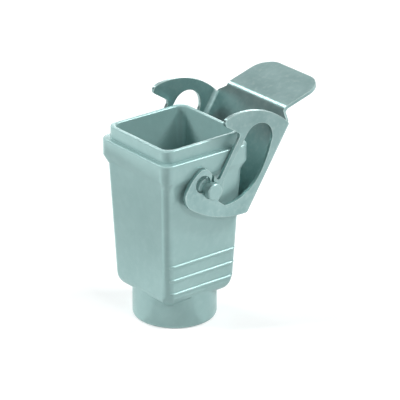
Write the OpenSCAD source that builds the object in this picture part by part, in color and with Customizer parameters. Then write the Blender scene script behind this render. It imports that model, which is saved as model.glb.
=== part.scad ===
// Square cable-coupler hood with a stamped locking lever, shown with the lever swung open.
// Millimetres. +Z is the mating direction, the cable entry looks down at z = 0.
// X is the lever's pivot axis, the lever's cross web lies on the +Y side.

/* [Hood body] */
// overall height of the hood up to the neck's rim
hood_height = 51.9; // [50.0:0.1:54.0]
// half width of the tapered walls where the collar's slope meets them
body_top_half = 12.75; // [12.5:0.05:13.1]
// half width of the tapered walls just above the rounded foot
body_foot_half = 11.4; // [11.2:0.05:11.7]
// height where the straight walls end and the rounded foot begins
foot_start = 11.1; // [10.5:0.1:12.0]
// radius of the rounded foot between the walls and the underside
foot_radius = 4.0; // [3.2:0.1:4.4]
// radius of the walls' upright corners
corner_radius = 2.5; // [2.0:0.05:2.9]

/* [Collar and neck] */
// how far the collar stands out from the top of the walls
collar_overhang = 1.15; // [0.9:0.05:1.4]
// height of the sloping shoulder under the collar
collar_slope_height = 2.0; // [1.4:0.1:2.4]
// height of the collar's upright band
collar_height = 4.6; // [4.0:0.1:5.4]
// corner radius of the collar
collar_radius = 2.9; // [2.4:0.1:3.3]
// how far the neck is set back from the collar's face
neck_setback = 1.4; // [1.2:0.05:1.7]
// height of the neck that enters the mating hood
neck_height = 3.4; // [2.8:0.1:4.2]
// corner radius of the neck
neck_radius = 2.8; // [2.3:0.1:3.2]

/* [Cavity] */
// wall of the neck around the insert opening
neck_wall = 1.15; // [0.9:0.05:1.4]
// wall of the hood beside the cavity's floor
foot_wall = 2.0; // [1.8:0.05:2.3]
// height of the cavity's floor
floor_height = 11.4; // [10.8:0.1:12.8]
// corner radius of the cavity at its floor
floor_radius = 0.5; // [0.35:0.05:0.7]

/* [Cable entry] */
// how far the round cable spigot stands back from the walls
spigot_setback = 0.35; // [0.2:0.05:0.6]
// radius of the cable bore, the crest radius of its thread
bore_radius = 8.65; // [8.2:0.05:8.9]
// chamfer around the spigot's lower edge
spigot_chamfer = 0.5; // [0.3:0.1:0.8]

/* [Grip ribs] */
// height of the lowest grip rib above the rounded foot
rib_rise = 0.5; // [0.3:0.1:1.2]
// rise from one grip rib to the next
rib_pitch = 3.92; // [3.0:0.02:4.6]
// number of grip ribs on each cheek side
rib_count = 3; // [2:1:4]
// radius of the half-round ribs
rib_radius = 0.42; // [0.25:0.01:0.55]
// how far the ribs' ends stop short of the walls' full half width
rib_setback = 1.05; // [0.9:0.05:2.0]

/* [Pivot] */
// drop of the lever's pivot axis below the collar's slope
pivot_drop = 2.5; // [2.2:0.1:3.2]
// radius of the cast pivot stud
stud_radius = 2.25; // [2.1:0.05:2.4]
// width of the boss's shoulder around the stud
boss_shoulder = 1.15; // [0.9:0.05:1.4]
// gap between the boss's shoulder and the lever's cheek
boss_clearance = 0.3; // [0.3:0.05:0.35]
// how far the stud stands out beyond the cheek
stud_stand = 1.6; // [1.0:0.1:2.2]
// chamfer around the stud's end
stud_chamfer = 0.3; // [0.1:0.05:0.4]

/* [Locking lever] */
// thickness of the lever's sheet
sheet = 1.0; // [0.8:0.05:1.2]
// gap between the collar and each cheek
cheek_clearance = 0.3; // [0.25:0.05:0.6]
// gap between the collar and the web of the closed lever
web_clearance = 0.65; // [0.5:0.05:0.8]
// inner radius of the bends between web and cheeks
bend_inner = 0.3; // [0.2:0.05:0.6]
// angle of the open lever behind its closed, upright position
open_angle = 33; // [28:0.5:36]
// gap between the web's lower edge and the hood's back when the lever is open
stop_gap = 0.35; // [0.3:0.05:0.6]
// running clearance between the stud and the lever's eye
eye_clearance = 0.05; // [0.03:0.01:0.08]

/* [Cheek outline] */
// radius of the cheek's crowned top edge
crown_radius = 21.8; // [21.0:0.1:22.6]
// distance of the crown's centre in front of the web's outer face
crown_inset = 5.8; // [5.3:0.1:6.3]
// height of the crown's centre above the pivot axis
crown_rise = 2.8; // [2.4:0.1:3.3]
// distance of the beak's centre in front of the pivot axis
beak_reach = 4.55; // [4.1:0.05:5.0]
// height of the beak's centre above the pivot axis
beak_rise = 17.3; // [16.8:0.1:17.8]
// radius of the beak's rounded nose
beak_radius = 1.25; // [1.0:0.05:1.4]
// radius of the throat between beak and spring strip
throat_radius = 1.2; // [0.9:0.1:1.4]
// width of the spring strip between beak and eye
strip_width = 1.35; // [1.1:0.05:1.6]
// distance of the strip's front edge behind the pivot axis
strip_front = 0.9; // [0.7:0.05:1.1]
// height of the strip's foot above the pivot axis
strip_foot = 3.9; // [3.7:0.1:4.2]
// width of the sheet around the back of the eye
eye_wall = 1.5; // [1.3:0.05:1.7]
// width of the open mouth of the eye
eye_mouth = 0.8; // [0.5:0.1:1.0]
// radius of the pocket in front of the eye
pocket_radius = 2.35; // [2.2:0.05:2.5]
// distance of the pocket's centre in front of the pivot axis
pocket_reach = 3.55; // [3.4:0.05:3.7]
// radius of the hook's front edge
hook_radius = 10.4; // [10.0:0.1:10.8]
// radius of the chin under the hook
chin_radius = 4.1; // [3.8:0.1:4.4]
// radius of the cheek's lower edge
sole_radius = 30.0; // [29.0:0.5:31.0]
// depth of the cheek's lowest point below the pivot axis
sole_drop = 6.7; // [6.3:0.1:7.0]
// distance of the window's back edge in front of the web's outer face
window_margin = 2.5; // [2.2:0.1:2.8]
// radius of the window's rounded top
window_top_radius = 4.6; // [4.4:0.1:4.8]
// height of the centre of the window's top above the pivot axis
window_top_rise = 16.7; // [16.2:0.1:17.0]
// radius of the window's lower back sweep
window_sweep_radius = 13.4; // [13.0:0.1:13.8]

/* [Thumb tab] */
// half width of the thumb tab
tab_half = 11.6; // [10.5:0.1:12.2]
// height of the tab's bend above the pivot axis
tab_rise = 26.6; // [26.2:0.1:27.5]
// angle the tab is bent back from the web
tab_angle = 41; // [36:1:46]
// length of the flat tab past its bend
tab_length = 12.8; // [11.0:0.1:13.5]
// radius of the tab's outer corners
tab_corner = 5.5; // [4.0:0.1:6.5]
// inner radius of the tab's bend
tab_bend = 1.2; // [0.8:0.1:1.6]

/* [Hidden] */
$fn = 64;
overlap = 0.3;
foot_ease = 0.05;
corner_ease = 0.004;
far = 40;
collar_half = body_top_half + collar_overhang;
collar_top = hood_height - neck_height;
collar_low = collar_top - collar_height;
collar_slope_start = collar_low - collar_slope_height;
collar_centre = collar_half - collar_radius;
neck_half = collar_half - neck_setback;
wall_slope = (body_top_half - body_foot_half) / (collar_slope_start - foot_start);
opening_half = neck_half - neck_wall;
floor_half = body_foot_half - foot_wall;
cavity_slope = (opening_half - floor_half) / (hood_height - floor_height);
cavity_centre = floor_half - floor_radius;
cavity_top = hood_height + 2;
spigot_radius = body_foot_half - spigot_setback;
pivot_height = collar_slope_start - pivot_drop;
lever_half = collar_half + cheek_clearance + sheet;
web_reach = collar_half + web_clearance + sheet;
boss_radius = stud_radius + boss_shoulder;
boss_reach = lever_half - sheet - boss_clearance;
stud_reach = lever_half + stud_stand;
eye_radius = stud_radius + eye_clearance;
web_inner = web_reach - sheet;
bend_radius = bend_inner + sheet;
web_drop = pivot_height - web_inner * sin(open_angle);
web_foot = fine((wall_at(web_drop) + stop_gap - web_inner * cos(open_angle)) / sin(open_angle));
crown_centre = [web_reach - crown_inset, crown_rise];
web_root = fine(crown_rise + crown_radius * cos(15) - 1.15);
web_shoulder = web_root + 1.8;
hood_paint = [0.61, 0.72, 0.71];
zinc_steel = [0.66, 0.76, 0.73];

// a length rounded to a thousandth, so that slabs and corner posts meet on one line
function fine(v) = round(v * 1000) / 1000;

// half width of the tapered walls at a height
function wall_at(z) = body_foot_half + wall_slope * (z - foot_start);

// half width of the cavity at a height
function cavity_at(z) = floor_half + cavity_slope * (z - floor_height);

// points along an arc from angle a0 to angle a1
function arc(c, r, a0, a1, n) = [for (i = [0:n]) c + r * [cos(a0 + (a1 - a0) * i / n), sin(a0 + (a1 - a0) * i / n)]];

// lays a drawing in the YZ plane and pulls it along X, both ways from the middle
module pull_x(half) {
    rotate([90, 0, 90])
        translate([0, 0, -half])
            linear_extrude(height = 2 * half)
                children();
}

// lays a drawing in the XZ plane and pulls it along Y, both ways from the middle
module pull_y(half) {
    rotate([90, 0, 0])
        translate([0, 0, -half])
            linear_extrude(height = 2 * half)
                children();
}

// puts a copy at each of the four corners of a square
module corners(centre) {
    for (sx = [-1, 1])
        for (sy = [-1, 1])
            translate([sx * centre, sy * centre, 0])
                children();
}

// square with round corners
module round_square(half, r) {
    square([2 * half, 2 * (half - r)], center = true);
    square([2 * (half - r), 2 * half], center = true);
    corners(half - r)
        circle(r = r);
}

// block with sloping walls, from a profile of half widths and heights:
// two slabs crossing, and a turned post closing each corner between them
module profiled_block(profile, centre) {
    mid = fine(centre);
    rim = [for (p = profile) [fine(p[0]), p[1]]];
    pull_x(mid)
        both_sides(rim);
    pull_y(mid)
        both_sides(rim);
    corners(mid)
        rotate_extrude()
            polygon(concat(
                [[0, rim[0][1]]],
                [for (p = rim) [p[0] - mid, p[1]]],
                [[0, rim[len(rim) - 1][1]]]
            ));
}

// drawing of a profile together with its mirror image
module both_sides(rim) {
    polygon(concat(rim, [for (i = [len(rim) - 1:-1:0]) [-rim[i][0], rim[i][1]]]));
}

// side view of what is rounded away along the two lower edges of the walls
module foot_cut() {
    foot_centre = body_foot_half + foot_ease - foot_radius;
    low = foot_start - foot_radius;
    difference() {
        translate([-far, low - 2])
            square([2 * far, foot_radius + 2]);
        translate([-foot_centre, low])
            square([2 * foot_centre, foot_radius + 1]);
        for (s = [-1, 1])
            translate([s * foot_centre, foot_start])
                circle(r = foot_radius);
    }
}

// what is rounded away along the four upright corners, leaning with the walls
module corner_cuts() {
    centre = wall_at(foot_start) - (corner_radius - corner_ease) * sqrt(1 + wall_slope * wall_slope);
    for (turn = [0:90:270])
        rotate([0, 0, turn])
            translate([centre, centre, foot_start])
                rotate(a = atan(wall_slope * sqrt(2)), v = [-1, 1, 0])
                    translate([0, 0, -far])
                        linear_extrude(height = 2 * far)
                            difference() {
                                square(3 * corner_radius);
                                circle(r = corner_radius);
                            }
}

module tapered_walls() {
    low = foot_start - foot_radius;
    top = collar_slope_start + overlap;
    rim = [[wall_at(low), low], [wall_at(top), top]];
    difference() {
        intersection() {
            pull_x(far)
                both_sides(rim);
            pull_y(far)
                both_sides(rim);
        }
        corner_cuts();
        pull_x(far)
            foot_cut();
        pull_y(far)
            foot_cut();
    }
}

module collar() {
    root = 1.2 * overlap;
    profiled_block([
        [body_top_half - root, collar_slope_start - root * collar_slope_height / collar_overhang],
        [collar_half, collar_low],
        [collar_half, collar_top]
    ], collar_centre);
    translate([0, 0, collar_top - overlap])
        linear_extrude(height = neck_height + overlap)
            round_square(neck_half, neck_radius);
}

module cable_spigot() {
    rotate_extrude()
        polygon([
            [0, 0],
            [spigot_radius - spigot_chamfer, 0],
            [spigot_radius, spigot_chamfer],
            [spigot_radius, foot_start],
            [0, foot_start]
        ]);
}

// boss and stud on each cheek side, turned from one profile
module pivot_studs() {
    root = wall_at(pivot_height - boss_radius) - overlap;
    for (s = [0, 180])
        rotate([0, 0, s])
            translate([0, 0, pivot_height])
                rotate([0, 90, 0])
                    rotate_extrude()
                        polygon([
                            [0, root],
                            [boss_radius, root],
                            [boss_radius, boss_reach],
                            [stud_radius, boss_reach],
                            [stud_radius, stud_reach - stud_chamfer],
                            [stud_radius - stud_chamfer, stud_reach],
                            [0, stud_reach]
                        ]);
}

module grip_ribs() {
    for (s = [-1, 1])
        for (i = [0:rib_count - 1])
            translate([s * wall_at(rib_height(i)), 0, rib_height(i)])
                rotate([90, 0, 0])
                    cylinder(h = 2 * (wall_at(rib_height(i)) - rib_setback), r = rib_radius, center = true, $fn = 32);
}

// height of a grip rib, counted from the lowest
function rib_height(i) = foot_start + rib_rise + i * rib_pitch;

module cavity() {
    profiled_block([[floor_half, floor_height], [cavity_at(cavity_top), cavity_top]], cavity_centre);
}

module cable_bore() {
    translate([0, 0, -overlap])
        cylinder(h = floor_height + 2 * overlap, r = bore_radius);
}

module housing() {
    color(hood_paint)
        difference() {
            union() {
                tapered_walls();
                collar();
                cable_spigot();
                pivot_studs();
                grip_ribs();
            }
            cavity();
            cable_bore();
        }
}

// The lever is drawn upright, as it stands when closed, with the pivot axis at the origin.
// The first coordinate runs back towards the web, the second runs up.

// rim of a cheek: back edge, crowned top, beak, spring strip, notch, hook and curved lower edge
function cheek_rim() = concat(
    arc(crown_centre, crown_radius, acos((crown_inset + overlap) / crown_radius), 132, 16),
    arc([-beak_reach, beak_rise], beak_radius, 150, 262, 8),
    arc([strip_front - throat_radius, beak_rise - beak_radius - throat_radius], throat_radius, 90, 0, 6),
    [[strip_front, strip_foot]],
    arc([strip_front - 0.5, strip_foot - 0.2], 0.5, 0, -105, 5),
    arc([-pocket_reach - 1.05, pocket_radius + 1.5], 0.55, 75, 152, 5),
    arc([hook_radius - 7.5, -1.7], hook_radius, 149, 178, 8),
    arc([chin_radius - 7.5, chin_radius - sole_drop], chin_radius, 182, 262, 10),
    arc([-2.3, sole_radius - sole_drop], sole_radius, 267, 360 - acos((web_reach + overlap + 2.3) / sole_radius), 14)
);

// opening of a cheek behind its spring strip
function window_rim() = concat(
    arc([strip_right() + 0.55 + window_top_radius, window_top_rise], window_top_radius, 174, 19, 16),
    arc([window_back() - 2 * window_sweep_radius, 9.5], 2 * window_sweep_radius, 18, 2, 6),
    arc([window_back() - window_sweep_radius, 9.5], window_sweep_radius, 0, -56, 12),
    arc([6.1, -0.35], 1.6, -58, -105, 4),
    [[eye_radius + eye_wall, -1.75]],
    arc([0, 0], eye_radius + eye_wall, -20, 46, 10),
    [[strip_right(), strip_foot]]
);

// back edge of the spring strip
function strip_right() = strip_front + strip_width;

// back edge of the window
function window_back() = web_reach - window_margin;

module cheek_drawing() {
    difference() {
        polygon(cheek_rim());
        polygon(window_rim());
        circle(r = eye_radius);
        translate([-pocket_reach, 0.5])
            circle(r = pocket_radius);
        rotate([0, 0, 116])
            translate([0, -eye_mouth / 2])
                square([eye_radius + 1.9, eye_mouth]);
    }
}

// plan view of the U-shaped channel: web at the back, cheeks at the sides, open to the front
module channel_plan() {
    difference() {
        union() {
            translate([-lever_half, -far])
                square([2 * lever_half, far + web_reach - bend_radius]);
            translate([-(lever_half - bend_radius), -far])
                square([2 * (lever_half - bend_radius), far + web_reach]);
            for (s = [-1, 1])
                translate([s * (lever_half - bend_radius), web_reach - bend_radius])
                    circle(r = bend_radius);
        }
        translate([-(lever_half - sheet), -far - 1])
            square([2 * (lever_half - sheet), far + 1 + web_reach - bend_radius]);
        translate([-(lever_half - bend_radius), -far - 1])
            square([2 * (lever_half - bend_radius), far + 1 + web_reach - sheet]);
        for (s = [-1, 1])
            translate([s * (lever_half - bend_radius), web_reach - bend_radius])
                circle(r = bend_inner);
    }
}

module folded_channel() {
    difference() {
        intersection() {
            translate([0, 0, -20])
                linear_extrude(height = 60)
                    channel_plan();
            pull_x(far)
                cheek_drawing();
        }
        translate([-(lever_half - bend_radius), web_reach - bend_radius, -20])
            cube([2 * (lever_half - bend_radius), 2 * bend_radius, 20 + web_foot]);
    }
}

// flat part of the web above the cheeks: it narrows from the bends to the tab
module web_top() {
    root = lever_half - bend_radius;
    translate([0, web_reach - sheet, 0])
        rotate([90, 0, 0])
            translate([0, 0, -sheet])
                linear_extrude(height = sheet)
                    polygon([
                        [-root, web_root],
                        [root, web_root],
                        [root, web_shoulder],
                        [tab_half - overlap, tab_rise - 0.1],
                        [overlap - tab_half, tab_rise - 0.1],
                        [-root, web_shoulder]
                    ]);
}

// side view of the strip that bends back from the web into the tab
module tab_side() {
    turn = [web_reach + tab_bend, tab_rise];
    translate([web_reach - sheet, web_root])
        square([sheet, tab_rise - web_root]);
    difference() {
        translate(turn)
            circle(r = tab_bend + sheet);
        translate(turn)
            circle(r = tab_bend);
        translate(turn + [-far, -2 * far])
            square([2 * far, 2 * far]);
        translate(turn)
            rotate([0, 0, 90 - tab_angle])
                translate([0, -far])
                    square([far, 2 * far]);
        translate(turn)
            square([far, far]);
    }
    translate(turn)
        rotate([0, 0, 90 - tab_angle])
            translate([0, tab_bend])
                square([tab_length, sheet]);
}

// face view of the flat tab with its rounded outer corners
module tab_face() {
    translate([-tab_half, -far])
        square([2 * tab_half, far + tab_length - tab_corner]);
    translate([-(tab_half - tab_corner), -far])
        square([2 * (tab_half - tab_corner), far + tab_length]);
    for (s = [-1, 1])
        translate([s * (tab_half - tab_corner), tab_length - tab_corner])
            circle(r = tab_corner);
}

module thumb_tab() {
    intersection() {
        pull_x(tab_half + 1)
            tab_side();
        translate([0, web_reach + tab_bend, tab_rise])
            rotate([90 - tab_angle, 0, 0])
                translate([0, 0, -far])
                    linear_extrude(height = 2 * far)
                        tab_face();
    }
}

module locking_lever() {
    color(zinc_steel)
        translate([0, 0, pivot_height])
            rotate([-open_angle, 0, 0]) {
                folded_channel();
                web_top();
                thumb_tab();
            }
}

housing();
locking_lever();
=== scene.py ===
"""Looks of a square cable-coupler hood and its stamped locking lever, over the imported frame."""

import logging
import math
from dataclasses import dataclass, field
from enum import Enum
from typing import Callable, Iterable

import bmesh
import bpy
from mathutils import Euler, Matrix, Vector


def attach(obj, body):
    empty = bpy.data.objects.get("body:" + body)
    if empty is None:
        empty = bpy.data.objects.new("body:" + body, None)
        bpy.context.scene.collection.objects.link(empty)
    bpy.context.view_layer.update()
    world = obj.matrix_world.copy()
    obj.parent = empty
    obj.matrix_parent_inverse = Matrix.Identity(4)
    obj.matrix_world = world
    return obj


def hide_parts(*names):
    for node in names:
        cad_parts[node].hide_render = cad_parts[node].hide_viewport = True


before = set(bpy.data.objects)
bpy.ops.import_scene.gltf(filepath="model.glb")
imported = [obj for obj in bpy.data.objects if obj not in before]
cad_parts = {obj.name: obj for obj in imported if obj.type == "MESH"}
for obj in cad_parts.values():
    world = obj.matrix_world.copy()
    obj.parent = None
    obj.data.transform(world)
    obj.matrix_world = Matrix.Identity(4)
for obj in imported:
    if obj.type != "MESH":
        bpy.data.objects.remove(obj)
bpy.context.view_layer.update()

MM = 0.001
ORIGIN = (0.0, 0.0, 0.0)
WHITE = (1.0, 1.0, 1.0, 1.0)
LOG = logging.getLogger("hood")

# Folds, in degrees: the sharpest that is shaded smooth, and the sharpest that counts as flat
SMOOTH_DEG = 32.0
FLAT_DEG = 0.6
# Lengths under which points become one, on a tool solid and on a finished piece
TOOL_WELD = 0.001 * MM
PIECE_WELD = 0.002 * MM
# Part of a noise's range that the finishes use
GRAIN_RANGE = (0.3, 0.7)
# Places of the sockets of a colour Mix node
MIX_MASK, MIX_FIRST, MIX_SECOND, MIX_RESULT = 0, 6, 7, 2

Pair = tuple[float, float]
Point = tuple[float, float, float]
Colour = tuple[float, float, float, float]
EdgeTest = Callable[[bmesh.types.BMEdge], bool]
Feeds = dict[str | int, object]


class Body(Enum):
    """Bodies of the frame that the pieces ride on."""

    HOOD = "hood"
    LEVER = "lever"


class Slot(Enum):
    """Material slots of the record."""

    HOOD_PAINT = "hood_paint"
    ZINC_STEEL = "zinc_steel"


class Work(Enum):
    """What a tool solid does to a piece."""

    CUT = "DIFFERENCE"
    WELD = "UNION"


class Sum(Enum):
    """What a Math node works out of two numbers."""

    TIMES = "MULTIPLY"
    LESS = "SUBTRACT"
    LARGER = "MAXIMUM"


# Hand-modelling helpers


def deselect_all() -> None:
    """Leave object mode clean, with nothing selected."""
    if bpy.context.object is not None and bpy.context.object.mode != "OBJECT":
        bpy.ops.object.mode_set(mode="OBJECT")
    bpy.ops.object.select_all(action="DESELECT")


def make_active(obj: bpy.types.Object) -> None:
    """Select one object alone and make it the active one.

    Args:
        obj: The object to work on.
    """
    deselect_all()
    obj.select_set(True)
    bpy.context.view_layer.objects.active = obj


def edit_all(obj: bpy.types.Object) -> None:
    """Open an object in edit mode with everything selected.

    Args:
        obj: The mesh object.
    """
    make_active(obj)
    bpy.ops.object.mode_set(mode="EDIT")
    bpy.ops.mesh.select_all(action="SELECT")


def pick_edges(obj: bpy.types.Object, test: EdgeTest) -> int:
    """Select, in edit mode, the edges that pass a test.

    Args:
        obj: The mesh object, in edit mode.
        test: Says whether an edge is taken.

    Returns:
        How many edges are selected.
    """
    bpy.ops.mesh.select_mode(type="EDGE")
    bpy.ops.mesh.select_all(action="DESELECT")
    mesh = bmesh.from_edit_mesh(obj.data)
    taken = [edge for edge in mesh.edges if test(edge)]
    for edge in taken:
        edge.select_set(True)
    bmesh.update_edit_mesh(obj.data)
    return len(taken)


def convex_edge(edge: bmesh.types.BMEdge, least_deg: float) -> bool:
    """Tell whether an edge of a closed mesh stands out by more than an angle.

    Args:
        edge: The edge.
        least_deg: Smallest fold, in degrees.

    Returns:
        True for such an edge.
    """
    if len(edge.link_faces) != 2:
        return False
    return edge.calc_face_angle_signed(0.0) > math.radians(least_deg)


def middle(edge: bmesh.types.BMEdge) -> Vector:
    """Give the middle of an edge."""
    return (edge.verts[0].co + edge.verts[1].co) / 2.0


def skin_of(node: str, name: str, merge: float) -> bpy.types.Object:
    """Copy a CAD node as a welded mesh with its flat triangles joined into faces.

    Args:
        node: Name of the CAD node.
        name: Name of the new piece.
        merge: Distance under which points become one, in metres.

    Returns:
        The new object, in object mode.
    """
    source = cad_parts[node]
    piece = source.copy()
    piece.data = source.data.copy()
    piece.name = piece.data.name = name
    for key in list(piece.keys()):
        if key.startswith("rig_"):
            del piece[key]
    piece.parent = None
    bpy.context.scene.collection.objects.link(piece)
    make_active(piece)
    if piece.data.has_custom_normals:
        bpy.ops.mesh.customdata_custom_splitnormals_clear()
    edit_all(piece)
    bpy.ops.mesh.remove_doubles(threshold=merge)
    bpy.ops.mesh.dissolve_degenerate(threshold=merge)
    bpy.ops.mesh.dissolve_limited(angle_limit=math.radians(FLAT_DEG))
    bpy.ops.object.mode_set(mode="OBJECT")
    return piece


def round_edges(piece: bpy.types.Object, width: float, faces: int, test: EdgeTest) -> int:
    """Round the edges of a piece that pass a test.

    Args:
        piece: The mesh object.
        width: Width of the rounding, in metres.
        faces: Faces across the rounding.
        test: Says whether an edge is taken.

    Returns:
        How many edges were rounded.
    """
    make_active(piece)
    bpy.ops.object.mode_set(mode="EDIT")
    count = pick_edges(piece, test)
    if count:
        bpy.ops.mesh.bevel(offset=width, offset_type="OFFSET", segments=faces, profile=0.5,
                           affect="EDGES", clamp_overlap=False, loop_slide=True)
    bpy.ops.object.mode_set(mode="OBJECT")
    return count


def arc(centre: Pair, radius: float, start_deg: float, end_deg: float, count: int) -> list[Pair]:
    """Give points along an arc.

    Args:
        centre: The arc's centre.
        radius: Its radius.
        start_deg: Angle of the first point.
        end_deg: Angle of the last point.
        count: How many points.

    Returns:
        The points, in order.
    """
    turns = [math.radians(start_deg + (end_deg - start_deg) * place / (count - 1))
             for place in range(count)]
    return [(centre[0] + radius * math.cos(turn), centre[1] + radius * math.sin(turn))
            for turn in turns]


def ring_of(name: str, points: list[Point], filled: bool = False) -> bpy.types.Object:
    """Shape a circle into a closed outline.

    Args:
        name: Name of the new object.
        points: The outline's corners, in order.
        filled: Whether a face spans the outline.

    Returns:
        The outline, in object mode.
    """
    deselect_all()
    bpy.ops.mesh.primitive_circle_add(vertices=len(points), radius=1.0, location=ORIGIN,
                                      fill_type="NGON" if filled else "NOTHING")
    ring = bpy.context.object
    ring.name = name
    bpy.ops.object.mode_set(mode="EDIT")
    mesh = bmesh.from_edit_mesh(ring.data)
    mesh.verts.ensure_lookup_table()
    for vert, point in zip(mesh.verts, points):
        vert.co = point
    bmesh.update_edit_mesh(ring.data)
    bpy.ops.object.mode_set(mode="OBJECT")
    return ring


def wind(ring: bpy.types.Object, steps: int, pitch: float = 0.0, turns: int = 1) -> None:
    """Turn an outline about the upright axis.

    Args:
        ring: The outline, in object mode.
        steps: Steps per turn.
        pitch: Rise per turn, or 0 for a ring that closes on itself.
        turns: How many turns.
    """
    make_active(ring)
    bpy.ops.object.modifier_add(type="SCREW")
    screw = ring.modifiers[-1]
    screw.axis = "Z"
    screw.angle = math.tau
    screw.screw_offset = pitch
    screw.iterations = turns
    screw.steps = screw.render_steps = steps
    screw.use_merge_vertices = pitch == 0.0
    bpy.ops.object.modifier_apply(modifier=screw.name)


def face_outwards(tool: bpy.types.Object) -> None:
    """Weld a closed tool solid and point its faces outwards.

    Args:
        tool: The mesh object.
    """
    edit_all(tool)
    bpy.ops.mesh.remove_doubles(threshold=TOOL_WELD)
    bpy.ops.mesh.normals_make_consistent(inside=False)
    bpy.ops.object.mode_set(mode="OBJECT")


def combine(piece: bpy.types.Object, tool: bpy.types.Object, work: Work) -> None:
    """Cut a tool solid out of a piece or weld it on, and remove the tool.

    Args:
        piece: The mesh object that is changed.
        tool: The mesh object that is taken away or added.
        work: Cut or weld.
    """
    make_active(piece)
    bpy.ops.object.modifier_add(type="BOOLEAN")
    change = piece.modifiers[-1]
    change.operation = work.value
    change.solver = "EXACT"
    change.object = tool
    bpy.ops.object.modifier_apply(modifier=change.name)
    make_active(tool)
    bpy.ops.object.delete()


def drop_slivers(piece: bpy.types.Object) -> None:
    """Split a piece's faces into triangles and close up those with no area.

    Args:
        piece: The mesh object.
    """
    edit_all(piece)
    bpy.ops.mesh.remove_doubles(threshold=PIECE_WELD)
    bpy.ops.mesh.quads_convert_to_tris(quad_method="BEAUTY", ngon_method="BEAUTY")
    bpy.ops.mesh.dissolve_degenerate(threshold=PIECE_WELD)
    bpy.ops.mesh.quads_convert_to_tris(quad_method="BEAUTY", ngon_method="BEAUTY")
    bpy.ops.object.mode_set(mode="OBJECT")


def finish_shading(piece: bpy.types.Object) -> None:
    """Shade a piece smooth over slight folds, with its wide flat faces kept flat.

    Args:
        piece: The mesh object.
    """
    make_active(piece)
    bpy.ops.object.shade_smooth_by_angle(angle=math.radians(SMOOTH_DEG))
    bpy.ops.object.modifier_add(type="WEIGHTED_NORMAL")
    even = piece.modifiers[-1]
    even.mode = "FACE_AREA"
    even.weight = 100
    even.keep_sharp = True
    bpy.ops.object.modifier_apply(modifier=even.name)
    deselect_all()


def dress(piece: bpy.types.Object, material: bpy.types.Material) -> None:
    """Clean a piece's mesh, shade it and give it its material.

    Args:
        piece: The mesh object.
        material: Its only material.
    """
    drop_slivers(piece)
    finish_shading(piece)
    piece.data.materials.clear()
    piece.data.materials.append(material)


# Shader nodes


class NodeSheet:
    """Short way to lay out nodes in a tree."""

    def __init__(self, tree: bpy.types.NodeTree) -> None:
        """Keep a material's, world's or group's tree."""
        self.tree = tree

    def feed(self, node: bpy.types.Node, feeds: Feeds) -> None:
        """Link or set inputs of a node.

        Args:
            node: The node.
            feeds: A socket to link or a value to set, by the input's name or place.
        """
        for key, value in feeds.items():
            if isinstance(value, bpy.types.NodeSocket):
                self.tree.links.new(value, node.inputs[key])
            else:
                node.inputs[key].default_value = value

    def add(self, kind: str, feeds: Feeds | None = None, **values: object) -> bpy.types.Node:
        """Add a node.

        Args:
            kind: The node's type name.
            feeds: What its inputs get.
            values: Properties of the node by name.

        Returns:
            The new node.
        """
        node = self.tree.nodes.new(kind)
        for key, value in values.items():
            setattr(node, key, value)
        self.feed(node, feeds or {})
        return node

    def place(self) -> bpy.types.NodeSocket:
        """Give the piece's own coordinates."""
        return self.add("ShaderNodeTexCoord").outputs["Object"]

    def maths(self, kind: Sum, first: object, second: object) -> bpy.types.NodeSocket:
        """Add a Math node on sockets or numbers and give its result."""
        return self.add("ShaderNodeMath", {0: first, 1: second}, operation=kind.value).outputs[0]

    def span(self, value: bpy.types.NodeSocket, low: float, high: float,
             to_low: float = 0.0, to_high: float = 1.0) -> bpy.types.NodeSocket:
        """Map a value from one range to another, held at the ends.

        Args:
            value: The value.
            low: Start of its range.
            high: End of its range.
            to_low: Result at the start.
            to_high: Result at the end.

        Returns:
            The mapped value.
        """
        node = self.add("ShaderNodeMapRange", {
            "Value": value, "From Min": low, "From Max": high,
            "To Min": to_low, "To Max": to_high}, clamp=True)
        return node.outputs["Result"]

    def blend(self, mask: bpy.types.NodeSocket, first: object,
              second: object) -> bpy.types.NodeSocket:
        """Mix two colours by a mask.

        Args:
            mask: 0 gives the first, 1 the second.
            first: A colour socket or a colour.
            second: A colour socket or a colour.

        Returns:
            The mixed colour.
        """
        node = self.add("ShaderNodeMix", {MIX_MASK: mask, MIX_FIRST: first, MIX_SECOND: second},
                        data_type="RGBA")
        return node.outputs[MIX_RESULT]

    def bump(self, height: bpy.types.NodeSocket, strength: float,
             distance: float) -> bpy.types.NodeSocket:
        """Add relief.

        Args:
            height: The relief, 0 to 1.
            strength: How much of it shows.
            distance: Its height, in metres.

        Returns:
            The normal.
        """
        node = self.add("ShaderNodeBump",
                        {"Height": height, "Strength": strength, "Distance": distance})
        return node.outputs["Normal"]

    def seen(self) -> bpy.types.NodeSocket:
        """Add a mask that is 1 for what the camera sees, straight or by reflection.

        Returns:
            The mask.
        """
        rays = self.add("ShaderNodeLightPath")
        mirrored = self.maths(Sum.LARGER, rays.outputs["Is Glossy Ray"],
                              rays.outputs["Is Transmission Ray"])
        return self.maths(Sum.LARGER, rays.outputs["Is Camera Ray"], mirrored)


def bare_sheet(owner: bpy.types.ID) -> NodeSheet:
    """Give a material or a world an empty node tree.

    Args:
        owner: The material or world.

    Returns:
        The tree's sheet.
    """
    owner.use_nodes = True
    owner.node_tree.nodes.clear()
    return NodeSheet(owner.node_tree)


def new_material(name: str) -> tuple[bpy.types.Material, NodeSheet, bpy.types.Node]:
    """Make a material with a bare Principled shader.

    Args:
        name: The material's name.

    Returns:
        The material, its sheet and the shader node.
    """
    material = bpy.data.materials.new(name)
    sheet = bare_sheet(material)
    shader = sheet.add("ShaderNodeBsdfPrincipled")
    sheet.add("ShaderNodeOutputMaterial", {"Surface": shader.outputs["BSDF"]})
    return material, sheet, shader


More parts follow.
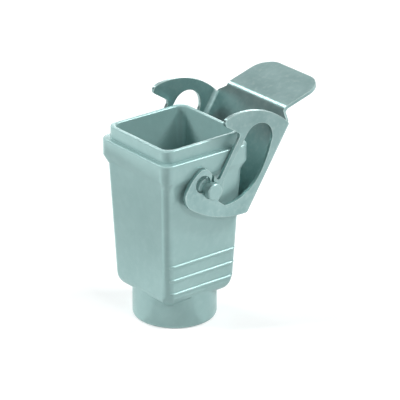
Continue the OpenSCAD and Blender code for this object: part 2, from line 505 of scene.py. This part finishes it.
class SurfaceEffects:
    """Node groups that the finishes share, each built once."""

    fleck_factor: float = 0.35
    noise_roughness: float = 0.55
    turn_radius: float = 0.45 * MM
    turn_samples: int = 6

    def __init__(self) -> None:
        """Build the groups."""
        self._grain = self._build_grain()
        self._edge = self._build_edge()

    def grain(self, sheet: NodeSheet, place: bpy.types.NodeSocket, fine: float,
              cloud: float) -> bpy.types.Node:
        """Put the grain group in a material, with its two scales, and give its node."""
        feeds = {"Vector": place, "Fine Scale": fine, "Cloud Scale": cloud}
        return sheet.add("ShaderNodeGroup", feeds, node_tree=self._grain)

    def edge(self, sheet: NodeSheet, sharpness: float) -> bpy.types.NodeSocket:
        """Put the edge group in a material and give its mask."""
        node = sheet.add("ShaderNodeGroup", {"Sharpness": sharpness}, node_tree=self._edge)
        return node.outputs["Mask"]

    @staticmethod
    def _new(name: str, inputs: Iterable[tuple[str, str]],
             outputs: Iterable[str]) -> tuple[bpy.types.NodeTree, NodeSheet]:
        """Make an empty group with its sockets.

        Args:
            name: The group's name.
            inputs: Name and socket type of each input.
            outputs: Names of the value outputs.

        Returns:
            The group and its sheet.
        """
        tree = bpy.data.node_groups.new(name, "ShaderNodeTree")
        for label, kind in inputs:
            tree.interface.new_socket(label, in_out="INPUT", socket_type=kind)
        for label in outputs:
            tree.interface.new_socket(label, in_out="OUTPUT", socket_type="NodeSocketFloat")
        return tree, NodeSheet(tree)

    def _build_grain(self) -> bpy.types.NodeTree:
        """Build the group of fine grain, broad clouding and speckle.

        Returns:
            The group, with the outputs Grain, Cloud and Speckle.
        """
        inputs = (("Vector", "NodeSocketVector"), ("Fine Scale", "NodeSocketFloat"),
                  ("Cloud Scale", "NodeSocketFloat"))
        layers = (("Grain", "Fine Scale", 1.0, 3.0), ("Cloud", "Cloud Scale", 1.0, 3.0),
                  ("Speckle", "Fine Scale", self.fleck_factor, 2.0))
        tree, sheet = self._new("surface_grain", inputs, [layer[0] for layer in layers])
        start, end = sheet.add("NodeGroupInput"), sheet.add("NodeGroupOutput")
        for label, scale, factor, detail in layers:
            noise = sheet.add("ShaderNodeTexNoise", {
                "Vector": start.outputs["Vector"],
                "Scale": sheet.maths(Sum.TIMES, start.outputs[scale], factor),
                "Detail": detail, "Roughness": self.noise_roughness})
            sheet.feed(end, {label: noise.outputs["Fac"]})
        return tree

    def _build_edge(self) -> bpy.types.NodeTree:
        """Build the group with a mask that is 1 where a surface turns sharply.

        Returns:
            The group, with the output Mask.
        """
        tree, sheet = self._new("edge_turn", (("Sharpness", "NodeSocketFloat"),), ["Mask"])
        start, end = sheet.add("NodeGroupInput"), sheet.add("NodeGroupOutput")
        soft = sheet.add("ShaderNodeBevel", {"Radius": self.turn_radius},
                         samples=self.turn_samples)
        plain = sheet.add("ShaderNodeNewGeometry")
        match = sheet.add("ShaderNodeVectorMath", {
            0: soft.outputs["Normal"], 1: plain.outputs["Normal"]}, operation="DOT_PRODUCT")
        turn = sheet.maths(Sum.LESS, 1.0, match.outputs["Value"])
        lifted = sheet.maths(Sum.TIMES, turn, start.outputs["Sharpness"])
        sheet.feed(end, {"Mask": sheet.span(lifted, 0.0, 1.0)})
        return tree


# Finishes


@dataclass(frozen=True)
class CastPaint:
    """Satin paint on a die casting: slight orange peel, faint clouding, and a painted highlight
    that makes turned edges paler.
    """

    name: str = "hood_satin_paint"
    base: Colour = (0.290, 0.450, 0.441, 1.0)
    pale: Colour = (0.320, 0.485, 0.475, 1.0)
    # Paler colour of the specks, and of the painted highlight on sharp edges
    edge: Colour = (0.470, 0.640, 0.628, 1.0)
    peel_scale: float = 1500.0
    peel_height: float = 0.02 * MM
    peel_strength: float = 0.5
    cloud_scale: float = 75.0
    cloud_range: Pair = (0.35, 0.65)
    fleck_range: Pair = (0.45, 0.75)
    fleck_share: float = 0.14
    edge_sharpness: float = 5.0
    # Painted highlight on sharp edges, stronger in some clouds than others: the cloud range and
    # the range of its strength
    edge_highlight_range: Pair = (0.2, 0.8)
    edge_highlight_share: Pair = (0.45, 0.85)
    roughness: Pair = (0.30, 0.40)
    metallic: float = 0.32
    ior: float = 1.48

    def make(self, effects: SurfaceEffects) -> bpy.types.Material:
        """Build the material.

        Args:
            effects: The shared node groups.

        Returns:
            The material.
        """
        material, sheet, shader = new_material(self.name)
        grain = effects.grain(sheet, sheet.place(), self.peel_scale, self.cloud_scale)
        peel, cloud = grain.outputs["Grain"], grain.outputs["Cloud"]
        body = sheet.blend(sheet.span(cloud, *self.cloud_range), self.base, self.pale)
        fleck = sheet.span(grain.outputs["Speckle"], *self.fleck_range, 0.0, self.fleck_share)
        body = sheet.blend(fleck, body, self.edge)
        # Painted highlight: sharp edges turn towards the paler edge colour
        edge_highlight = sheet.maths(Sum.TIMES, effects.edge(sheet, self.edge_sharpness),
                           sheet.span(cloud, *self.edge_highlight_range, *self.edge_highlight_share))
        sheet.feed(shader, {
            "Base Color": sheet.blend(edge_highlight, body, self.edge),
            "Roughness": sheet.span(peel, *GRAIN_RANGE, *self.roughness),
            "Normal": sheet.bump(peel, self.peel_strength, self.peel_height),
            "Metallic": self.metallic, "IOR": self.ior})
        return material


@dataclass(frozen=True)
class ZincSheet:
    """Zinc-plated stamped steel: rolled grain, satin gloss, and a painted highlight that makes
    turned edges bright.
    """

    name: str = "lever_zinc_steel"
    base: Colour = (0.325, 0.472, 0.464, 1.0)
    dull: Colour = (0.240, 0.372, 0.368, 1.0)
    # Colour of the bright specks, and of the painted highlight on sharp edges
    bright: Colour = (0.60, 0.72, 0.69, 1.0)
    stretch: Point = (0.22, 1.0, 1.0)
    grain_scale: float = 2600.0
    grain_height: float = 0.008 * MM
    grain_strength: float = 0.25
    cloud_scale: float = 140.0
    fleck_scale: float = 2080.0
    fleck_range: Pair = (0.5, 0.8)
    fleck_share: float = 0.2
    edge_sharpness: float = 5.0
    # Strength of the painted highlight on sharp edges
    edge_highlight_share: float = 0.8
    roughness: Pair = (0.29, 0.35)
    metallic: float = 0.9

    def make(self, effects: SurfaceEffects) -> bpy.types.Material:
        """Build the material.

        Args:
            effects: The shared node groups.

        Returns:
            The material.
        """
        material, sheet, shader = new_material(self.name)
        place = sheet.place()
        drawn = sheet.add("ShaderNodeMapping", {"Vector": place, "Scale": self.stretch})
        rolled = effects.grain(sheet, drawn.outputs["Vector"], self.grain_scale,
                               self.cloud_scale).outputs["Grain"]
        plain = effects.grain(sheet, place, self.fleck_scale, self.cloud_scale)
        body = sheet.blend(sheet.span(plain.outputs["Cloud"], *GRAIN_RANGE), self.dull, self.base)
        fleck = sheet.span(plain.outputs["Speckle"], *self.fleck_range, 0.0, self.fleck_share)
        body = sheet.blend(fleck, body, self.bright)
        # Painted highlight: sharp edges turn towards the bright colour
        edge_highlight = sheet.maths(Sum.TIMES, effects.edge(sheet, self.edge_sharpness), self.edge_highlight_share)
        sheet.feed(shader, {
            "Base Color": sheet.blend(edge_highlight, body, self.bright),
            "Roughness": sheet.span(rolled, *GRAIN_RANGE, *self.roughness),
            "Normal": sheet.bump(rolled, self.grain_strength, self.grain_height),
            "Metallic": self.metallic})
        return material


# Sub-assemblies


@dataclass
class GlandThread:
    """Cutter for the gland thread in the round cable entry."""

    crest_radius: float = 8.65 * MM
    crest_clear: float = 0.12 * MM
    depth: float = 0.62 * MM
    pitch: float = 1.411 * MM
    half_share: float = 0.47
    turns: int = 7
    start: float = 0.55 * MM
    steps: int = 64

    def cutter(self) -> bpy.types.Object:
        """Wind a V-shaped ridge into a screw with closed ends.

        Returns:
            The cutter, in object mode.
        """
        inner, outer = self.crest_radius - self.crest_clear, self.crest_radius + self.depth
        half = self.half_share * self.pitch
        profile = ((inner, -half), (outer, 0.0), (inner, half))
        cutter = ring_of("gland_thread_cutter",
                         [(out, 0.0, self.start + half + rise) for out, rise in profile])
        wind(cutter, self.steps, self.pitch, self.turns)
        bpy.ops.object.mode_set(mode="EDIT")
        bpy.ops.mesh.select_mode(type="EDGE")
        bpy.ops.mesh.select_all(action="DESELECT")
        bpy.ops.mesh.select_non_manifold()
        bpy.ops.mesh.edge_face_add()
        face_outwards(cutter)
        return cutter

    def apply(self, piece: bpy.types.Object) -> None:
        """Cut the thread into the hood."""
        combine(piece, self.cutter(), Work.CUT)


@dataclass
class RibTrim:
    """Cutter that runs the ends of the grip ribs out into the hood's round corners."""

    low: float = 10.95 * MM
    high: float = 20.6 * MM
    half_low: float = 11.84 * MM
    half_high: float = 12.27 * MM
    corner: float = 3.65 * MM
    corner_faces: int = 24
    outer: float = 15.0 * MM
    overshoot: float = 2.0 * MM
    least_rise: float = 1.0 * MM

    def _block(self, half_low: float, half_high: float, overshoot: float) -> bpy.types.Object:
        """Make a square block that widens upwards.

        Args:
            half_low: Half width at the lower end.
            half_high: Half width at the upper end.
            overshoot: How far it runs past both ends.

        Returns:
            The block, in object mode.
        """
        deselect_all()
        bpy.ops.mesh.primitive_cube_add(size=2.0, location=ORIGIN)
        block = bpy.context.object
        lean = (half_high - half_low) / (self.high - self.low) * overshoot
        bpy.ops.object.mode_set(mode="EDIT")
        mesh = bmesh.from_edit_mesh(block.data)
        for vert in mesh.verts:
            upper = vert.co.z > 0.0
            half = half_high + lean if upper else half_low - lean
            rise = self.high + overshoot if upper else self.low - overshoot
            vert.co = (math.copysign(half, vert.co.x), math.copysign(half, vert.co.y), rise)
        bmesh.update_edit_mesh(block.data)
        bpy.ops.object.mode_set(mode="OBJECT")
        return block

    def _upright(self, edge: bmesh.types.BMEdge) -> bool:
        """Tell whether an edge of the block stands upright."""
        return abs(edge.verts[0].co.z - edge.verts[1].co.z) > self.least_rise

    def apply(self, piece: bpy.types.Object) -> None:
        """Trim the ribs of the hood.

        Args:
            piece: The hood's skin.
        """
        core = self._block(self.half_low, self.half_high, self.overshoot)
        round_edges(core, self.corner, self.corner_faces, self._upright)
        ring = self._block(self.outer, self.outer, 0.0)
        combine(ring, core, Work.CUT)
        combine(piece, ring, Work.CUT)


@dataclass
class CornerRound:
    """Cutter that rounds the four lower corners of the hood's foot."""

    centre_out: float = 9.934 * MM
    centre_rise: float = 12.15 * MM
    radius: float = 5.2 * MM
    start_deg: float = 3.38
    end_deg: float = 75.5
    outer: float = 18.0 * MM
    low: float = 5.0 * MM
    arc_points: int = 17
    steps: int = 160

    def cutter(self) -> bpy.types.Object:
        """Turn the space outside a rounded corner into a ring around the hood's axis.

        Returns:
            The cutter, in object mode.
        """
        profile = arc((self.centre_out, self.centre_rise), self.radius,
                      -self.start_deg, -self.end_deg, self.arc_points)
        first_out, first_rise = profile[0]
        top = first_rise - (self.outer - first_out) * math.tan(math.radians(self.start_deg))
        profile += [(profile[-1][0], self.low), (self.outer, self.low), (self.outer, top)]
        cutter = ring_of("corner_cutter", [(out, 0.0, rise) for out, rise in profile])
        wind(cutter, self.steps)
        face_outwards(cutter)
        return cutter

    def apply(self, piece: bpy.types.Object) -> None:
        """Round the foot's corners."""
        combine(piece, self.cutter(), Work.CUT)


@dataclass
class HoodCasting:
    """The die-cast hood with its cast pivot studs."""

    node: str = "housing"
    name: str = "hood_casting"
    merge: float = 0.02 * MM
    round_faces: int = 3
    rim_round: float = 0.40 * MM
    rim_fold: float = 40.0
    rim_least: float = 0.08 * MM
    ridge_round: float = 0.25 * MM
    ridge_fold: float = 18.0
    ridge_least: float = 0.2 * MM
    ridge_from: float = 8.3 * MM
    foot_low: float = 6.3 * MM
    foot_high: float = 11.2 * MM
    stud_round: float = 0.10 * MM
    stud_fold: float = 30.0
    stud_from: float = 14.5 * MM
    thread: GlandThread = field(default_factory=GlandThread)
    trim: RibTrim = field(default_factory=RibTrim)
    corners: CornerRound = field(default_factory=CornerRound)
    finish: CastPaint = field(default_factory=CastPaint)

    def build(self, effects: SurfaceEffects) -> bpy.types.Object:
        """Make the hood's skin, round its cast edges, cut it and dress it.

        Args:
            effects: The shared node groups.

        Returns:
            The finished piece.
        """
        piece = skin_of(self.node, self.name, self.merge)
        for width, test in ((self.rim_round, self._rim_edge),
                            (self.ridge_round, self._ridge_edge),
                            (self.stud_round, self._stud_edge)):
            count = round_edges(piece, width, self.round_faces, test)
            LOG.info("%s: %d edges rounded by %.2f mm", self.name, count, width / MM)
        for tool in (self.thread, self.trim, self.corners):
            tool.apply(piece)
        dress(piece, self.finish.make(effects))
        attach(piece, Body.HOOD.value)
        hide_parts(self.node)
        return piece

    def _rim_edge(self, edge: bmesh.types.BMEdge) -> bool:
        """Tell whether an edge is on a rim of the collar, the neck, a boss or the cable entry.

        Args:
            edge: An edge of the skin.

        Returns:
            True for such an edge.
        """
        place = middle(edge)
        return (convex_edge(edge, self.rim_fold) and edge.calc_length() > self.rim_least
                and not self.foot_low < place.z < self.foot_high
                and abs(place.x) < self.stud_from)

    def _ridge_edge(self, edge: bmesh.types.BMEdge) -> bool:
        """Tell whether an edge is a ridge of the rounded foot's four corners.

        Args:
            edge: An edge of the skin.

        Returns:
            True for such an edge.
        """
        place = middle(edge)
        return (self.foot_low < place.z < self.foot_high
                and min(abs(place.x), abs(place.y)) > self.ridge_from
                and convex_edge(edge, self.ridge_fold) and edge.calc_length() > self.ridge_least)

    def _stud_edge(self, edge: bmesh.types.BMEdge) -> bool:
        """Tell whether an edge is on the end of a pivot stud."""
        return abs(middle(edge).x) > self.stud_from and convex_edge(edge, self.stud_fold)


@dataclass
class FoldFillet:
    """Bars that round the inner corners of the folds between the web and the cheeks."""

    radius: float = 1.5 * MM
    bite: float = 0.02 * MM
    sink: float = 0.15 * MM
    cheek_inner: float = 14.2 * MM
    web_inner: float = 14.55 * MM
    low: float = 1.0 * MM
    high: float = 23.9 * MM
    pivot_height: float = 39.4 * MM
    open_deg: float = 33.0
    arc_points: int = 11

    def bar(self, side: float) -> bpy.types.Object:
        """Make the hollow-sided bar that fills one corner of the open lever.

        Args:
            side: -1 or 1, the cheek.

        Returns:
            The bar, in object mode.
        """
        across = self.cheek_inner - self.radius + self.bite
        back = self.web_inner - self.radius + self.bite
        cheek, web = self.cheek_inner + self.sink, self.web_inner + self.sink
        profile = arc((across, back), self.radius, 0.0, 90.0, self.arc_points)
        profile += [(across, web), (cheek, web), (cheek, back)]
        lean, rise = math.sin(math.radians(self.open_deg)), math.cos(math.radians(self.open_deg))
        bar = ring_of("fold_bar", [(side * out, depth * rise + self.low * lean,
                                    self.pivot_height - depth * lean + self.low * rise)
                                   for out, depth in profile], filled=True)
        length = self.high - self.low
        edit_all(bar)
        bpy.ops.mesh.extrude_region_move(
            TRANSFORM_OT_translate={"value": (0.0, length * lean, length * rise)})
        face_outwards(bar)
        return bar

    def apply(self, piece: bpy.types.Object) -> None:
        """Round both folds of the lever."""
        for side in (-1.0, 1.0):
            combine(piece, self.bar(side), Work.WELD)


@dataclass
class StampedLever:
    """The folded locking lever."""

    node: str = "locking_lever"
    name: str = "stamped_lever"
    merge: float = 0.03 * MM
    round_faces: int = 2
    burr_round: float = 0.12 * MM
    burr_fold: float = 50.0
    folds: FoldFillet = field(default_factory=FoldFillet)
    finish: ZincSheet = field(default_factory=ZincSheet)

    def build(self, effects: SurfaceEffects) -> bpy.types.Object:
        """Make the lever's skin, round its folds, ease its stamped edges and dress it.

        Args:
            effects: The shared node groups.

        Returns:
            The finished piece.
        """
        piece = skin_of(self.node, self.name, self.merge)
        self.folds.apply(piece)
        count = round_edges(piece, self.burr_round, self.round_faces, self._stamped_edge)
        LOG.info("%s: %d edges rounded by %.2f mm", self.name, count, self.burr_round / MM)
        dress(piece, self.finish.make(effects))
        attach(piece, Body.LEVER.value)
        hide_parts(self.node)
        return piece

    def _stamped_edge(self, edge: bmesh.types.BMEdge) -> bool:
        """Tell whether an edge is one of the sheet's cut edges."""
        return convex_edge(edge, self.burr_fold)


# Studio


@dataclass(frozen=True)
class Softbox:
    """One soft studio lamp."""

    name: str
    place: Point
    size: Pair
    power: float
    aim: Point = (0.0, 0.0, 0.03)
    mirrored: bool = True

    def build(self) -> None:
        """Add the lamp."""
        lamp = bpy.data.lights.new(self.name, "AREA")
        lamp.shape = "RECTANGLE"
        lamp.size, lamp.size_y = self.size
        lamp.energy = self.power
        obj = bpy.data.objects.new(self.name, lamp)
        bpy.context.scene.collection.objects.link(obj)
        obj.location = self.place
        ray = Vector(self.aim) - Vector(self.place)
        obj.rotation_euler = ray.to_track_quat("-Z", "Y").to_euler()
        obj.visible_glossy = self.mirrored


@dataclass(frozen=True)
class Flag:
    """A dark studio card, out of the camera's sight, that metal and gloss reflect."""

    name: str
    place: Point
    size: Pair
    shade: float
    roll_deg: float = 0.0
    aim: Point | None = None
    roughness: float = 0.9

    def build(self) -> None:
        """Add the card, facing its aim or lying face up."""
        deselect_all()
        bpy.ops.mesh.primitive_plane_add(size=1.0, location=self.place)
        card = bpy.context.object
        card.name = self.name
        card.scale = (*self.size, 1.0)
        ray = Vector(self.aim) - Vector(self.place) if self.aim else Vector((0.0, 0.0, 1.0))
        roll = Euler((0.0, 0.0, math.radians(self.roll_deg))).to_quaternion()
        card.rotation_euler = (ray.to_track_quat("Z", "Y") @ roll).to_euler()
        material, sheet, shader = new_material(self.name)
        sheet.feed(shader, {"Base Color": (self.shade, self.shade, self.shade, 1.0),
                            "Roughness": self.roughness})
        card.data.materials.append(material)
        card.visible_camera = card.visible_shadow = card.visible_diffuse = False


@dataclass
class PhotoCamera:
    """Camera at the photograph's viewing angle."""

    azimuth_deg: float = 51.73
    elevation_deg: float = 23.47
    distance: float = 0.73787
    target: Point = (0.0, 0.0, 0.03022)
    angle_deg: float = 8.0
    shift: Pair = (0.0635, 0.0129)
    clip: Pair = (0.05, 20.0)

    def build(self) -> None:
        """Add the camera and make it the scene's own."""
        data = bpy.data.cameras.new("photo_camera")
        data.sensor_fit = "HORIZONTAL"
        data.lens_unit = "FOV"
        data.angle = math.radians(self.angle_deg)
        data.shift_x, data.shift_y = self.shift
        data.clip_start, data.clip_end = self.clip
        obj = bpy.data.objects.new("photo_camera", data)
        bpy.context.scene.collection.objects.link(obj)
        turn, rise = math.radians(self.azimuth_deg), math.radians(self.elevation_deg)
        back = Vector((math.sin(turn) * math.cos(rise), -math.cos(turn) * math.cos(rise),
                       math.sin(rise)))
        obj.location = Vector(self.target) + back * self.distance
        obj.rotation_euler = back.to_track_quat("Z", "Y").to_euler()
        bpy.context.scene.camera = obj


@dataclass
class Studio:
    """Pale floor, white surroundings, soft lamps and dark cards."""

    floor_half: float = 3.0
    floor_colour: Colour = (0.72, 0.73, 0.73, 1.0)
    near_glow: float = 0.34
    glow_from: float = 0.35
    glow_full: float = 0.90
    ambient: float = 0.04
    lamps: tuple[Softbox, ...] = (
        Softbox("left_key", (-0.36, -0.60, 0.44), (0.20, 0.20), 5.4, mirrored=False),
        Softbox("right_fill", (0.66, -0.02, 0.46), (0.20, 0.20), 1.7, mirrored=False),
        Softbox("left_rim", (-0.56, -0.08, 0.53), (0.10, 0.50), 1.6),
        Softbox("right_rim", (0.32, 0.46, 0.58), (0.22, 0.22), 4.4),
        Softbox("fold_light", (0.22, -0.64, 0.30), (0.12, 0.25), 0.42, aim=(0.0, 0.0, 0.05)),
        Softbox("back_rim", (-0.60, 0.56, 0.22), (0.36, 0.20), 1.0),
    )
    flags: tuple[Flag, ...] = (
        Flag("left_flag", (-0.45, -0.37, 0.24), (0.55, 0.38), 0.04, aim=(0.0, 0.0, 0.05)),
        Flag("front_flag", (0.0673, -0.1077, 0.001), (0.14, 0.14), 0.20, roll_deg=-13.0),
        Flag("near_flag", (0.0158, -0.0142, 0.0008), (0.03, 0.03), 0.42, roll_deg=3.0),
        Flag("right_flag", (0.165, 0.145, 0.001), (0.14, 0.14), 0.45),
        Flag("tab_flag", (-0.432, 0.194, 0.456), (0.14, 0.14), 0.28, aim=(0.0, 0.03, 0.07)),
        Flag("floor_flag", (-0.062, -0.052, 0.001), (0.09, 0.036), 0.02),
    )

    def build(self) -> None:
        """Add the floor, the world, the lamps and the cards."""
        self._floor()
        self._world()
        for fitting in self.lamps + self.flags:
            fitting.build()
        bpy.context.scene.view_settings.view_transform = "Standard"

    def _floor(self) -> None:
        """Add the floor: white to the camera, with the object's soft shadow left on it."""
        deselect_all()
        bpy.ops.mesh.primitive_plane_add(size=2.0 * self.floor_half, location=ORIGIN)
        floor = bpy.context.object
        floor.name = "floor"
        material = bpy.data.materials.new("floor_white")
        sheet = bare_sheet(material)
        matt = sheet.add("ShaderNodeBsdfDiffuse", {"Color": self.floor_colour})
        reach = sheet.add("ShaderNodeVectorMath", {0: sheet.place()}, operation="LENGTH")
        level = sheet.span(reach.outputs["Value"], self.glow_from, self.glow_full,
                           self.near_glow, 1.0)
        glow = sheet.add("ShaderNodeEmission", {
            "Color": WHITE, "Strength": sheet.maths(Sum.TIMES, sheet.seen(), level)})
        both = sheet.add("ShaderNodeAddShader",
                         {0: matt.outputs["BSDF"], 1: glow.outputs["Emission"]})
        sheet.add("ShaderNodeOutputMaterial", {"Surface": both.outputs["Shader"]})
        floor.data.materials.append(material)

    def _world(self) -> None:
        """Make the surroundings white to the camera and dimmer as light."""
        world = bpy.data.worlds.new("studio_white")
        bpy.context.scene.world = world
        sheet = bare_sheet(world)
        back = sheet.add("ShaderNodeBackground", {
            "Color": WHITE, "Strength": sheet.span(sheet.seen(), 0.0, 1.0, self.ambient, 1.0)})
        sheet.add("ShaderNodeOutputWorld", {"Surface": back.outputs["Background"]})


def main() -> None:
    """Build the part's looks and the studio around it."""
    logging.basicConfig(level=logging.INFO, format="%(name)s: %(message)s")
    PhotoCamera().build()
    Studio().build()
    effects = SurfaceEffects()
    for part in (HoodCasting(), StampedLever()):
        piece = part.build(effects)
        LOG.info("%s: %d faces", piece.name, len(piece.data.polygons))


if __name__ == "__main__":
    main()
